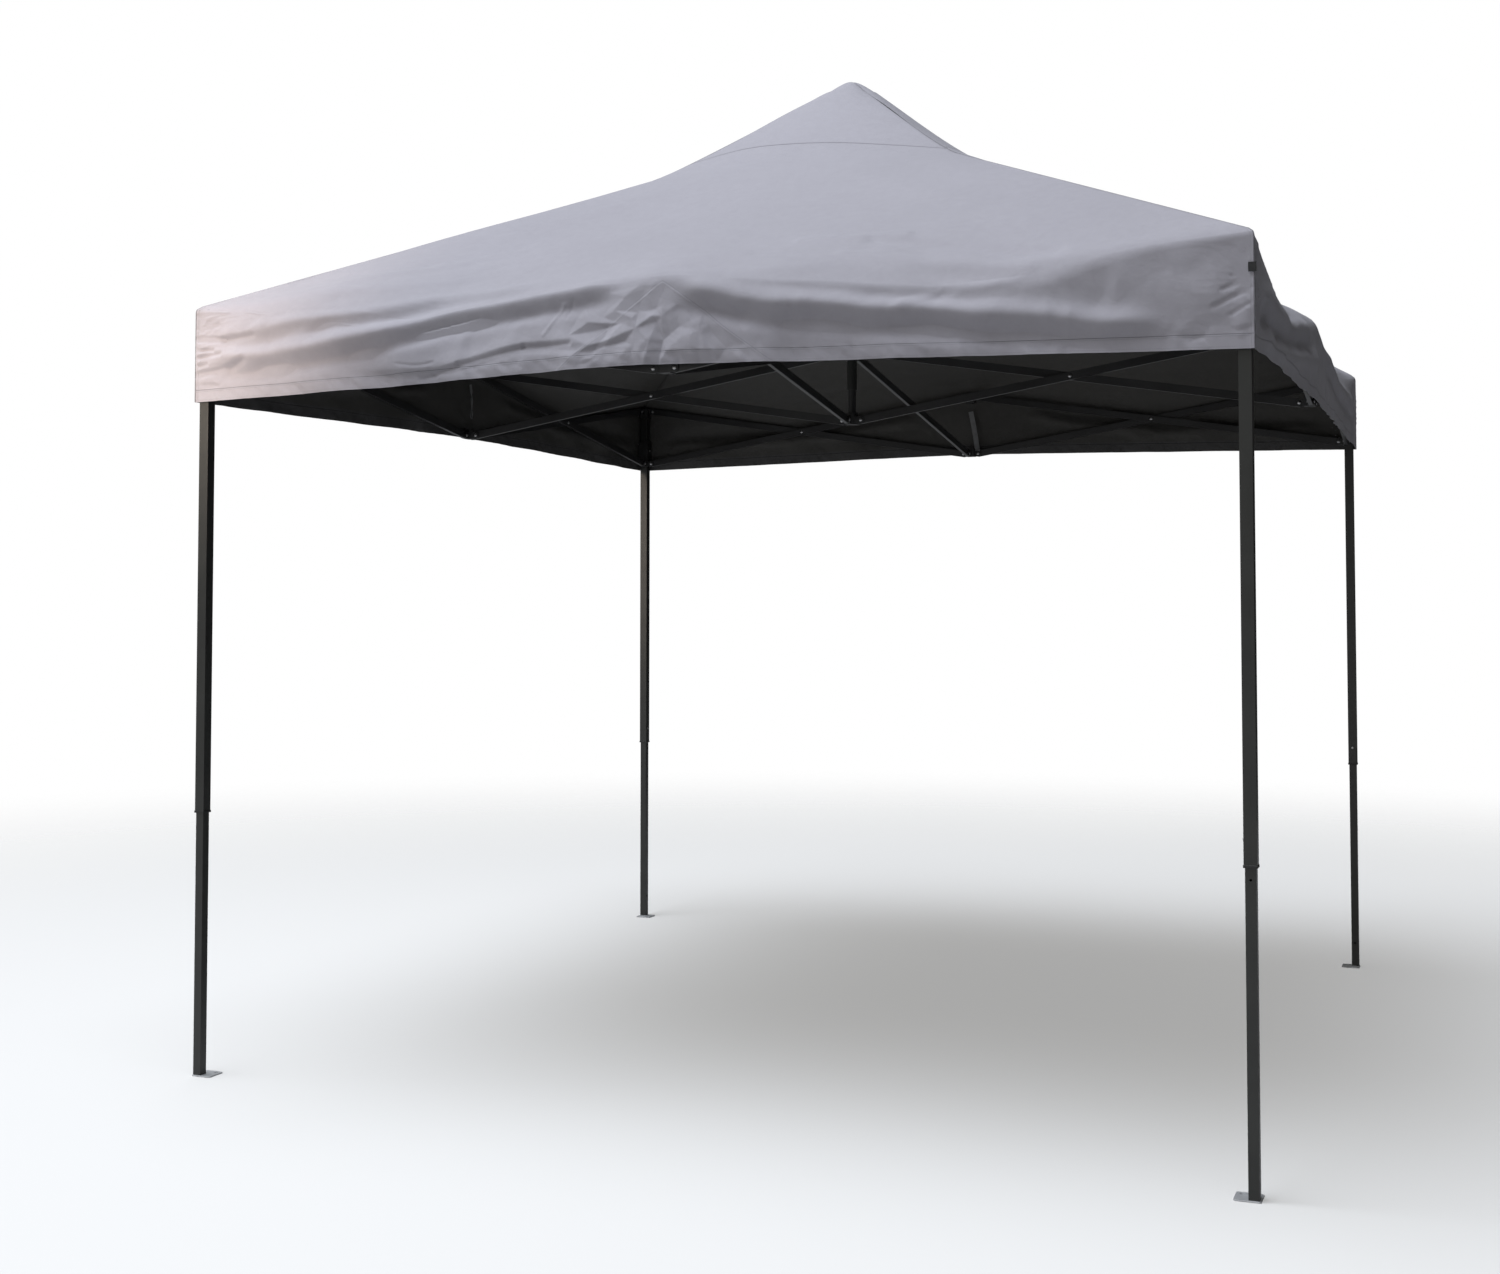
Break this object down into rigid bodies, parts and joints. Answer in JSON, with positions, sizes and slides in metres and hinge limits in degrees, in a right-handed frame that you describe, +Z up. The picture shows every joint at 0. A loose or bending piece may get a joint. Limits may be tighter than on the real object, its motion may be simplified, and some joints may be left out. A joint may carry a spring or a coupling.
{
  "type": "pop up canopy",
  "caption": "Square pop up canopy: scissor-folding steel frame on telescopic legs with foot plates, under a peaked fabric cover with a hanging valance.",
  "frame": {"origin": "on the ground, under the middle of the frame", "axes": "+Z up, +X to the right and -Y towards the viewer of the front side"},
  "size_m": [2.96, 2.96, 3.0589],
  "materials": {
    "leg_paint": "powder-coated charcoal, low gloss",
    "bar_paint": "powder-coated black, satin",
    "black_plastic": "moulded nylon, matte",
    "zinc_steel": "zinc-plated steel",
    "cover_fabric": "coated woven polyester, grey with a faint lavender cast, black coating inside"
  },
  "bodies": {
    "upper_hub": {"upper_hub": "black_plastic", "valance": "cover_fabric"},
    "front_arm_high_bar": {"front_arm_high_bar": "bar_paint"},
    "front_arm_low_bar": {"front_arm_low_bar": "bar_paint"},
    "lower_bracket_front": {"lower_bracket_front": "black_plastic"},
    "upper_bracket_front": {"upper_bracket_front": "black_plastic"},
    "front_left_rise_bar": {"front_left_rise_bar": "bar_paint"},
    "front_left_drop_bar": {"front_left_drop_bar": "bar_paint"},
    "front_right_rise_bar": {"front_right_rise_bar": "bar_paint"},
    "front_right_drop_bar": {"front_right_drop_bar": "bar_paint"},
    "roof_panel_front": {"roof_panel_front": "cover_fabric"},
    "right_arm_high_bar": {"right_arm_high_bar": "bar_paint"},
    "right_arm_low_bar": {"right_arm_low_bar": "bar_paint"},
    "lower_bracket_right": {"lower_bracket_right": "black_plastic"},
    "upper_bracket_right": {"upper_bracket_right": "black_plastic"},
    "right_left_rise_bar": {"right_left_rise_bar": "bar_paint"},
    "right_left_drop_bar": {"right_left_drop_bar": "bar_paint"},
    "right_right_rise_bar": {"right_right_rise_bar": "bar_paint"},
    "right_right_drop_bar": {"right_right_drop_bar": "bar_paint"},
    "roof_panel_right": {"roof_panel_right": "cover_fabric"},
    "back_arm_high_bar": {"back_arm_high_bar": "bar_paint"},
    "back_arm_low_bar": {"back_arm_low_bar": "bar_paint"},
    "lower_bracket_back": {"lower_bracket_back": "black_plastic"},
    "upper_bracket_back": {"upper_bracket_back": "black_plastic"},
    "back_left_rise_bar": {"back_left_rise_bar": "bar_paint"},
    "back_left_drop_bar": {"back_left_drop_bar": "bar_paint"},
    "back_right_rise_bar": {"back_right_rise_bar": "bar_paint"},
    "back_right_drop_bar": {"back_right_drop_bar": "bar_paint"},
    "roof_panel_back": {"roof_panel_back": "cover_fabric"},
    "left_arm_high_bar": {"left_arm_high_bar": "bar_paint"},
    "left_arm_low_bar": {"left_arm_low_bar": "bar_paint"},
    "lower_bracket_left": {"lower_bracket_left": "black_plastic"},
    "upper_bracket_left": {"upper_bracket_left": "black_plastic"},
    "left_left_rise_bar": {"left_left_rise_bar": "bar_paint"},
    "left_left_drop_bar": {"left_left_drop_bar": "bar_paint"},
    "left_right_rise_bar": {"left_right_rise_bar": "bar_paint"},
    "left_right_drop_bar": {"left_right_drop_bar": "bar_paint"},
    "roof_panel_left": {"roof_panel_left": "cover_fabric"},
    "lower_hub": {"lower_hub": "black_plastic"},
    "upper_leg_front_left": {"upper_leg_front_left": "leg_paint"},
    "slider_front_left": {"slider_front_left": "black_plastic"},
    "upper_leg_front_right": {"upper_leg_front_right": "leg_paint"},
    "slider_front_right": {"slider_front_right": "black_plastic"},
    "upper_leg_back_right": {"upper_leg_back_right": "leg_paint"},
    "slider_back_right": {"slider_back_right": "black_plastic"},
    "upper_leg_back_left": {"upper_leg_back_left": "leg_paint"},
    "slider_back_left": {"slider_back_left": "black_plastic"},
    "mast_upper_tube": {"mast_upper_tube": "leg_paint"},
    "lower_leg_front_left": {"lower_leg_front_left": "leg_paint"},
    "snap_button_front_left": {"snap_button_front_left": "zinc_steel"},
    "slider_latch_front_left": {"slider_latch_front_left": "zinc_steel"},
    "lower_leg_front_right": {"lower_leg_front_right": "leg_paint"},
    "snap_button_front_right": {"snap_button_front_right": "zinc_steel"},
    "slider_latch_front_right": {"slider_latch_front_right": "zinc_steel"},
    "lower_leg_back_right": {"lower_leg_back_right": "leg_paint"},
    "snap_button_back_right": {"snap_button_back_right": "zinc_steel"},
    "slider_latch_back_right": {"slider_latch_back_right": "zinc_steel"},
    "lower_leg_back_left": {"lower_leg_back_left": "leg_paint"},
    "snap_button_back_left": {"snap_button_back_left": "zinc_steel"},
    "slider_latch_back_left": {"slider_latch_back_left": "zinc_steel"}
  },
  "joints": [
    {"name": "frame_fold", "type": "hinge", "parent": "upper_hub", "child": "front_arm_high_bar", "pos_m": [0.0065, -0.035, 2.16], "axis": [1, 0, 0], "range_deg": [0, 75.5], "deforming": ["valance"]},
    {"name": "front_arm_crossing", "type": "hinge", "parent": "front_arm_high_bar", "child": "front_arm_low_bar", "pos_m": [0, -0.7275, 2.0475], "axis": [1, 0, 0], "range_deg": [-152, 1]},
    {"name": "front_lower_bracket_pivot", "type": "hinge", "parent": "front_arm_high_bar", "child": "lower_bracket_front", "pos_m": [0.0065, -1.42, 1.935], "axis": [1, 0, 0], "range_deg": [-76.5, 1]},
    {"name": "front_upper_bracket_pivot", "type": "hinge", "parent": "front_arm_low_bar", "child": "upper_bracket_front", "pos_m": [-0.0065, -1.42, 2.16], "axis": [1, 0, 0], "range_deg": [-1, 76.5]},
    {"name": "front_left_rise_pivot", "type": "hinge", "parent": "lower_bracket_front", "child": "front_left_rise_bar", "pos_m": [-0.03, -1.4565, 1.935], "axis": [0, 1, 0], "range_deg": [-1, 76.5]},
    {"name": "front_left_drop_pivot", "type": "hinge", "parent": "upper_bracket_front", "child": "front_left_drop_bar", "pos_m": [-0.03, -1.4435, 2.16], "axis": [0, -1, 0], "range_deg": [-1, 76.5]},
    {"name": "front_right_rise_pivot", "type": "hinge", "parent": "lower_bracket_front", "child": "front_right_rise_bar", "pos_m": [0.03, -1.4565, 1.935], "axis": [0, -1, 0], "range_deg": [-1, 76.5]},
    {"name": "front_right_drop_pivot", "type": "hinge", "parent": "upper_bracket_front", "child": "front_right_drop_bar", "pos_m": [0.03, -1.4435, 2.16], "axis": [0, 1, 0], "range_deg": [-1, 76.5]},
    {"name": "front_eave_hinge", "type": "hinge", "parent": "upper_bracket_front", "child": "roof_panel_front", "pos_m": [0, -1.4788, 2.1744], "axis": [-1, 0, 0], "range_deg": [-1, 121.8], "deforming": ["roof_panel_front"]},
    {"name": "right_arm_high_pivot", "type": "hinge", "parent": "upper_hub", "child": "right_arm_high_bar", "pos_m": [0.035, 0.0065, 2.16], "axis": [0, 1, 0], "range_deg": [-1, 76.5]},
    {"name": "right_arm_crossing", "type": "hinge", "parent": "right_arm_high_bar", "child": "right_arm_low_bar", "pos_m": [0.7275, 0, 2.0475], "axis": [0, 1, 0], "range_deg": [-152, 1]},
    {"name": "right_lower_bracket_pivot", "type": "hinge", "parent": "right_arm_high_bar", "child": "lower_bracket_right", "pos_m": [1.42, 0.0065, 1.935], "axis": [0, 1, 0], "range_deg": [-76.5, 1]},
    {"name": "right_upper_bracket_pivot", "type": "hinge", "parent": "right_arm_low_bar", "child": "upper_bracket_right", "pos_m": [1.42, -0.0065, 2.16], "axis": [0, 1, 0], "range_deg": [-1, 76.5]},
    {"name": "right_left_rise_pivot", "type": "hinge", "parent": "lower_bracket_right", "child": "right_left_rise_bar", "pos_m": [1.4565, -0.03, 1.935], "axis": [-1, 0, 0], "range_deg": [-1, 76.5]},
    {"name": "right_left_drop_pivot", "type": "hinge", "parent": "upper_bracket_right", "child": "right_left_drop_bar", "pos_m": [1.4435, -0.03, 2.16], "axis": [1, 0, 0], "range_deg": [-1, 76.5]},
    {"name": "right_right_rise_pivot", "type": "hinge", "parent": "lower_bracket_right", "child": "right_right_rise_bar", "pos_m": [1.4565, 0.03, 1.935], "axis": [1, 0, 0], "range_deg": [-1, 76.5]},
    {"name": "right_right_drop_pivot", "type": "hinge", "parent": "upper_bracket_right", "child": "right_right_drop_bar", "pos_m": [1.4435, 0.03, 2.16], "axis": [-1, 0, 0], "range_deg": [-1, 76.5]},
    {"name": "right_eave_hinge", "type": "hinge", "parent": "upper_bracket_right", "child": "roof_panel_right", "pos_m": [1.4788, 0, 2.1744], "axis": [0, -1, 0], "range_deg": [-1, 121.8], "deforming": ["roof_panel_right"]},
    {"name": "back_arm_high_pivot", "type": "hinge", "parent": "upper_hub", "child": "back_arm_high_bar", "pos_m": [-0.0065, 0.035, 2.16], "axis": [-1, 0, 0], "range_deg": [-1, 76.5]},
    {"name": "back_arm_crossing", "type": "hinge", "parent": "back_arm_high_bar", "child": "back_arm_low_bar", "pos_m": [0, 0.7275, 2.0475], "axis": [-1, 0, 0], "range_deg": [-152, 1]},
    {"name": "back_lower_bracket_pivot", "type": "hinge", "parent": "back_arm_high_bar", "child": "lower_bracket_back", "pos_m": [-0.0065, 1.42, 1.935], "axis": [-1, 0, 0], "range_deg": [-76.5, 1]},
    {"name": "back_upper_bracket_pivot", "type": "hinge", "parent": "back_arm_low_bar", "child": "upper_bracket_back", "pos_m": [0.0065, 1.42, 2.16], "axis": [-1, 0, 0], "range_deg": [-1, 76.5]},
    {"name": "back_left_rise_pivot", "type": "hinge", "parent": "lower_bracket_back", "child": "back_left_rise_bar", "pos_m": [0.03, 1.4565, 1.935], "axis": [0, -1, 0], "range_deg": [-1, 76.5]},
    {"name": "back_left_drop_pivot", "type": "hinge", "parent": "upper_bracket_back", "child": "back_left_drop_bar", "pos_m": [0.03, 1.4435, 2.16], "axis": [0, 1, 0], "range_deg": [-1, 76.5]},
    {"name": "back_right_rise_pivot", "type": "hinge", "parent": "lower_bracket_back", "child": "back_right_rise_bar", "pos_m": [-0.03, 1.4565, 1.935], "axis": [0, 1, 0], "range_deg": [-1, 76.5]},
    {"name": "back_right_drop_pivot", "type": "hinge", "parent": "upper_bracket_back", "child": "back_right_drop_bar", "pos_m": [-0.03, 1.4435, 2.16], "axis": [0, -1, 0], "range_deg": [-1, 76.5]},
    {"name": "back_eave_hinge", "type": "hinge", "parent": "upper_bracket_back", "child": "roof_panel_back", "pos_m": [0, 1.4788, 2.1744], "axis": [1, 0, 0], "range_deg": [-1, 121.8], "deforming": ["roof_panel_back"]},
    {"name": "left_arm_high_pivot", "type": "hinge", "parent": "upper_hub", "child": "left_arm_high_bar", "pos_m": [-0.035, -0.0065, 2.16], "axis": [0, -1, 0], "range_deg": [-1, 76.5]},
    {"name": "left_arm_crossing", "type": "hinge", "parent": "left_arm_high_bar", "child": "left_arm_low_bar", "pos_m": [-0.7275, 0, 2.0475], "axis": [0, -1, 0], "range_deg": [-152, 1]},
    {"name": "left_lower_bracket_pivot", "type": "hinge", "parent": "left_arm_high_bar", "child": "lower_bracket_left", "pos_m": [-1.42, -0.0065, 1.935], "axis": [0, -1, 0], "range_deg": [-76.5, 1]},
    {"name": "left_upper_bracket_pivot", "type": "hinge", "parent": "left_arm_low_bar", "child": "upper_bracket_left", "pos_m": [-1.42, 0.0065, 2.16], "axis": [0, -1, 0], "range_deg": [-1, 76.5]},
    {"name": "left_left_rise_pivot", "type": "hinge", "parent": "lower_bracket_left", "child": "left_left_rise_bar", "pos_m": [-1.4565, 0.03, 1.935], "axis": [1, 0, 0], "range_deg": [-1, 76.5]},
    {"name": "left_left_drop_pivot", "type": "hinge", "parent": "upper_bracket_left", "child": "left_left_drop_bar", "pos_m": [-1.4435, 0.03, 2.16], "axis": [-1, 0, 0], "range_deg": [-1, 76.5]},
    {"name": "left_right_rise_pivot", "type": "hinge", "parent": "lower_bracket_left", "child": "left_right_rise_bar", "pos_m": [-1.4565, -0.03, 1.935], "axis": [-1, 0, 0], "range_deg": [-1, 76.5]},
    {"name": "left_right_drop_pivot", "type": "hinge", "parent": "upper_bracket_left", "child": "left_right_drop_bar", "pos_m": [-1.4435, -0.03, 2.16], "axis": [1, 0, 0], "range_deg": [-1, 76.5]},
    {"name": "left_eave_hinge", "type": "hinge", "parent": "upper_bracket_left", "child": "roof_panel_left", "pos_m": [-1.4788, 0, 2.1744], "axis": [0, 1, 0], "range_deg": [-1, 121.8], "deforming": ["roof_panel_left"]},
    {"name": "lower_hub_pivot", "type": "hinge", "parent": "front_arm_low_bar", "child": "lower_hub", "pos_m": [-0.0065, -0.035, 1.935], "axis": [1, 0, 0], "range_deg": [-1, 76.5]},
    {"name": "front_left_leg_pivot", "type": "hinge", "parent": "front_left_rise_bar", "child": "upper_leg_front_left", "pos_m": [-1.415, -1.4565, 2.16], "axis": [0, -1, 0], "range_deg": [-1, 76.5]},
    {"name": "front_left_slider_pivot", "type": "hinge", "parent": "front_left_drop_bar", "child": "slider_front_left", "pos_m": [-1.415, -1.4435, 1.935], "axis": [0, 1, 0], "range_deg": [-1, 76.5]},
    {"name": "front_right_leg_pivot", "type": "hinge", "parent": "front_right_rise_bar", "child": "upper_leg_front_right", "pos_m": [1.415, -1.4565, 2.16], "axis": [0, 1, 0], "range_deg": [-1, 76.5]},
    {"name": "front_right_slider_pivot", "type": "hinge", "parent": "front_right_drop_bar", "child": "slider_front_right", "pos_m": [1.415, -1.4435, 1.935], "axis": [0, -1, 0], "range_deg": [-1, 76.5]},
    {"name": "back_right_leg_pivot", "type": "hinge", "parent": "back_left_rise_bar", "child": "upper_leg_back_right", "pos_m": [1.415, 1.4565, 2.16], "axis": [0, 1, 0], "range_deg": [-1, 76.5]},
    {"name": "back_right_slider_pivot", "type": "hinge", "parent": "back_left_drop_bar", "child": "slider_back_right", "pos_m": [1.415, 1.4435, 1.935], "axis": [0, -1, 0], "range_deg": [-1, 76.5]},
    {"name": "back_left_leg_pivot", "type": "hinge", "parent": "back_right_rise_bar", "child": "upper_leg_back_left", "pos_m": [-1.415, 1.4565, 2.16], "axis": [0, -1, 0], "range_deg": [-1, 76.5]},
    {"name": "back_left_slider_pivot", "type": "hinge", "parent": "back_right_drop_bar", "child": "slider_back_left", "pos_m": [-1.415, 1.4435, 1.935], "axis": [0, 1, 0], "range_deg": [-1, 76.5]},
    {"name": "mast_slide", "type": "slide", "parent": "upper_hub", "child": "mast_upper_tube", "axis": [0, 0, 1], "range_m": [-0.81, 0.01]},
    {"name": "front_left_leg_slide", "type": "slide", "parent": "upper_leg_front_left", "child": "lower_leg_front_left", "axis": [0, 0, 1], "range_m": [0, 0.715]},
    {"name": "front_left_snap_button_press", "type": "slide", "parent": "upper_leg_front_left", "child": "snap_button_front_left", "axis": [0, -1, 0], "range_m": [0, 0.004], "stiffness_N_per_m": 1500},
    {"name": "front_left_slider_latch_pull", "type": "slide", "parent": "slider_front_left", "child": "slider_latch_front_left", "axis": [0, 1, 0], "range_m": [0, 0.0025], "stiffness_N_per_m": 1500},
    {"name": "front_right_leg_slide", "type": "slide", "parent": "upper_leg_front_right", "child": "lower_leg_front_right", "axis": [0, 0, 1], "range_m": [0, 0.715]},
    {"name": "front_right_snap_button_press", "type": "slide", "parent": "upper_leg_front_right", "child": "snap_button_front_right", "axis": [1, 0, 0], "range_m": [0, 0.004], "stiffness_N_per_m": 1500},
    {"name": "front_right_slider_latch_pull", "type": "slide", "parent": "slider_front_right", "child": "slider_latch_front_right", "axis": [-1, 0, 0], "range_m": [0, 0.0025], "stiffness_N_per_m": 1500},
    {"name": "back_right_leg_slide", "type": "slide", "parent": "upper_leg_back_right", "child": "lower_leg_back_right", "axis": [0, 0, 1], "range_m": [0, 0.715]},
    {"name": "back_right_snap_button_press", "type": "slide", "parent": "upper_leg_back_right", "child": "snap_button_back_right", "axis": [0, 1, 0], "range_m": [0, 0.004], "stiffness_N_per_m": 1500},
    {"name": "back_right_slider_latch_pull", "type": "slide", "parent": "slider_back_right", "child": "slider_latch_back_right", "axis": [0, -1, 0], "range_m": [0, 0.0025], "stiffness_N_per_m": 1500},
    {"name": "back_left_leg_slide", "type": "slide", "parent": "upper_leg_back_left", "child": "lower_leg_back_left", "axis": [0, 0, 1], "range_m": [0, 0.715]},
    {"name": "back_left_snap_button_press", "type": "slide", "parent": "upper_leg_back_left", "child": "snap_button_back_left", "axis": [-1, 0, 0], "range_m": [0, 0.004], "stiffness_N_per_m": 1500},
    {"name": "back_left_slider_latch_pull", "type": "slide", "parent": "slider_back_left", "child": "slider_latch_back_left", "axis": [1, 0, 0], "range_m": [0, 0.0025], "stiffness_N_per_m": 1500}
  ],
  "couplings": [
    {"joint": "front_arm_crossing", "follows": "frame_fold", "ratio": -2},
    {"joint": "front_lower_bracket_pivot", "follows": "frame_fold", "ratio": -1},
    {"joint": "front_upper_bracket_pivot", "follows": "frame_fold", "ratio": 1},
    {"joint": "front_left_rise_pivot", "follows": "frame_fold", "ratio": 1},
    {"joint": "front_left_drop_pivot", "follows": "frame_fold", "ratio": 1},
    {"joint": "front_right_rise_pivot", "follows": "frame_fold", "ratio": 1},
    {"joint": "front_right_drop_pivot", "follows": "frame_fold", "ratio": 1},
    {"joint": "front_eave_hinge", "follows": "frame_fold", "ratio": 1.6},
    {"joint": "right_arm_high_pivot", "follows": "frame_fold", "ratio": 1},
    {"joint": "right_arm_crossing", "follows": "frame_fold", "ratio": -2},
    {"joint": "right_lower_bracket_pivot", "follows": "frame_fold", "ratio": -1},
    {"joint": "right_upper_bracket_pivot", "follows": "frame_fold", "ratio": 1},
    {"joint": "right_left_rise_pivot", "follows": "frame_fold", "ratio": 1},
    {"joint": "right_left_drop_pivot", "follows": "frame_fold", "ratio": 1},
    {"joint": "right_right_rise_pivot", "follows": "frame_fold", "ratio": 1},
    {"joint": "right_right_drop_pivot", "follows": "frame_fold", "ratio": 1},
    {"joint": "right_eave_hinge", "follows": "frame_fold", "ratio": 1.6},
    {"joint": "back_arm_high_pivot", "follows": "frame_fold", "ratio": 1},
    {"joint": "back_arm_crossing", "follows": "frame_fold", "ratio": -2},
    {"joint": "back_lower_bracket_pivot", "follows": "frame_fold", "ratio": -1},
    {"joint": "back_upper_bracket_pivot", "follows": "frame_fold", "ratio": 1},
    {"joint": "back_left_rise_pivot", "follows": "frame_fold", "ratio": 1},
    {"joint": "back_left_drop_pivot", "follows": "frame_fold", "ratio": 1},
    {"joint": "back_right_rise_pivot", "follows": "frame_fold", "ratio": 1},
    {"joint": "back_right_drop_pivot", "follows": "frame_fold", "ratio": 1},
    {"joint": "back_eave_hinge", "follows": "frame_fold", "ratio": 1.6},
    {"joint": "left_arm_high_pivot", "follows": "frame_fold", "ratio": 1},
    {"joint": "left_arm_crossing", "follows": "frame_fold", "ratio": -2},
    {"joint": "left_lower_bracket_pivot", "follows": "frame_fold", "ratio": -1},
    {"joint": "left_upper_bracket_pivot", "follows": "frame_fold", "ratio": 1},
    {"joint": "left_left_rise_pivot", "follows": "frame_fold", "ratio": 1},
    {"joint": "left_left_drop_pivot", "follows": "frame_fold", "ratio": 1},
    {"joint": "left_right_rise_pivot", "follows": "frame_fold", "ratio": 1},
    {"joint": "left_right_drop_pivot", "follows": "frame_fold", "ratio": 1},
    {"joint": "left_eave_hinge", "follows": "frame_fold", "ratio": 1.6},
    {"joint": "lower_hub_pivot", "follows": "frame_fold", "ratio": 1},
    {"joint": "front_left_leg_pivot", "follows": "frame_fold", "ratio": 1},
    {"joint": "front_left_slider_pivot", "follows": "frame_fold", "ratio": 1},
    {"joint": "front_right_leg_pivot", "follows": "frame_fold", "ratio": 1},
    {"joint": "front_right_slider_pivot", "follows": "frame_fold", "ratio": 1},
    {"joint": "back_right_leg_pivot", "follows": "frame_fold", "ratio": 1},
    {"joint": "back_right_slider_pivot", "follows": "frame_fold", "ratio": 1},
    {"joint": "back_left_leg_pivot", "follows": "frame_fold", "ratio": 1},
    {"joint": "back_left_slider_pivot", "follows": "frame_fold", "ratio": 1},
    {"joint": "mast_slide", "follows": "frame_fold", "m_per_rad": -0.60711}
  ]
}
